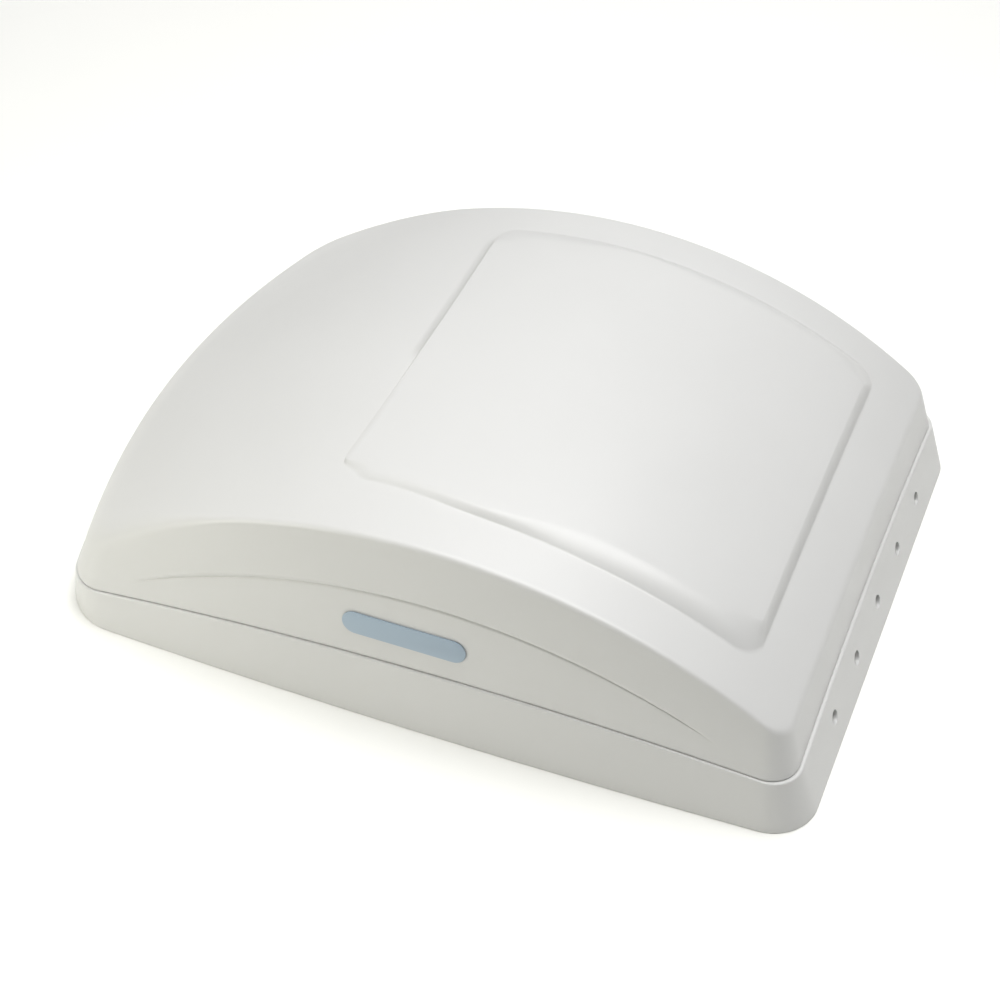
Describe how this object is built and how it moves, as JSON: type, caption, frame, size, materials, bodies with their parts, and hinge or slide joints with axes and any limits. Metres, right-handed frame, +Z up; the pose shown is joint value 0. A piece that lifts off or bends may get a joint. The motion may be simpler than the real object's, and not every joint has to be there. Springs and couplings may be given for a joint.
{
  "type": "roof vent cover",
  "caption": "Powered roof ventilator with a domed white rain lid that a hand crank lifts at one end, over a fan in a square roof neck with an insect screen.",
  "frame": {"origin": "on the roof surface, under the middle of the outline", "axes": "+X towards the upright end that lifts, -X the bowed nose with the hinge, +Z up"},
  "size_m": [0.578, 0.425, 0.165],
  "materials": {
    "shell_white": "satin moulded ABS",
    "moulded_white": "fine moulded grain",
    "wheel_white": "natural acetal",
    "badge_grey": "satin, blank",
    "black_plastic": "moulded",
    "grey_plastic": "moulded",
    "seal_rubber": "closed-cell",
    "lip_rubber": "soft extrusion",
    "galvanised": "galvanised sheet",
    "bracket_paint": "grey powder coat",
    "motor_black": "black enamel",
    "screw_steel": "zinc-plated",
    "shaft_steel": "drawn",
    "mesh_wire": "anodised wire"
  },
  "bodies": {
    "base": {"base_skirt": "shell_white", "base_deck": "moulded_white", "roof_flange": "galvanised", "flange_seal": "seal_rubber", "base_screws": "screw_steel", "lid_seal": "lip_rubber", "hinge_bracket": "moulded_white", "hinge_pin": "shaft_steel", "shaft_bearing_left": "moulded_white", "shaft_bearing_right": "moulded_white", "worm_bracket": "moulded_white", "deck_screws": "screw_steel", "fan_duct": "moulded_white", "motor_bracket": "bracket_paint", "bracket_screws": "screw_steel", "fan_motor": "motor_black", "motor_screws": "screw_steel", "screen_frame": "moulded_white", "insect_mesh": "mesh_wire", "switch_housing": "black_plastic"},
    "lid": {"lid_shell": "shell_white", "lid_badge": "badge_grey", "lid_track_left": "black_plastic", "lid_track_right": "black_plastic", "hinge_block": "moulded_white", "lid_hinge_leaf": "moulded_white", "lid_screws": "screw_steel"},
    "lift": {"lift_shaft": "shaft_steel", "lift_arm_left": "moulded_white", "lift_arm_right": "moulded_white", "guide_pins": "shaft_steel", "worm_wheel": "wheel_white"},
    "crank": {"worm_shaft": "shaft_steel", "crank_knob": "grey_plastic"},
    "fan": {"fan_rotor": "moulded_white", "motor_shaft": "shaft_steel", "fan_nut": "screw_steel"},
    "button_1": {"turn_button_1": "grey_plastic"},
    "button_2": {"turn_button_2": "grey_plastic"},
    "button_3": {"turn_button_3": "grey_plastic"},
    "button_4": {"turn_button_4": "grey_plastic"},
    "speed": {"speed_knob": "black_plastic"}
  },
  "joints": [
    {"name": "lid_hinge", "type": "hinge", "parent": "base", "child": "lid", "pos_m": [-0.264, 0, 0.024], "axis": [0, -1, 0], "range_deg": [0, 12]},
    {"name": "lift_turn", "type": "hinge", "parent": "base", "child": "lift", "pos_m": [-0.1, 0, 0.044], "axis": [0, -1, 0], "range_deg": [0, 24]},
    {"name": "crank_turn", "type": "hinge", "parent": "base", "child": "crank", "pos_m": [-0.072, -0.135, 0.044], "axis": [0, 0, -1], "range_deg": [0, 672]},
    {"name": "fan_spin", "type": "hinge", "parent": "base", "child": "fan", "pos_m": [0.07, 0, 0.038], "axis": [0, 0, 1], "continuous": true},
    {"name": "speed_turn", "type": "hinge", "parent": "base", "child": "speed", "pos_m": [-0.072, 0.135, 0.01], "axis": [0, 0, -1], "range_deg": [0, 270]},
    {"name": "button_1_turn", "type": "hinge", "parent": "base", "child": "button_1", "pos_m": [0.24, 0, 0.0055], "axis": [0, 0, 1], "range_deg": [0, 90]},
    {"name": "button_2_turn", "type": "hinge", "parent": "base", "child": "button_2", "pos_m": [0.07, 0.17, 0.0055], "axis": [0, 0, 1], "range_deg": [0, 90]},
    {"name": "button_3_turn", "type": "hinge", "parent": "base", "child": "button_3", "pos_m": [-0.1, 0, 0.0055], "axis": [0, 0, 1], "range_deg": [0, 90]},
    {"name": "button_4_turn", "type": "hinge", "parent": "base", "child": "button_4", "pos_m": [0.07, -0.17, 0.0055], "axis": [0, 0, 1], "range_deg": [0, 90]}
  ],
  "couplings": [
    {"joint": "lift_turn", "follows": "lid_hinge", "ratio": 2},
    {"joint": "crank_turn", "follows": "lid_hinge", "ratio": 56}
  ]
}
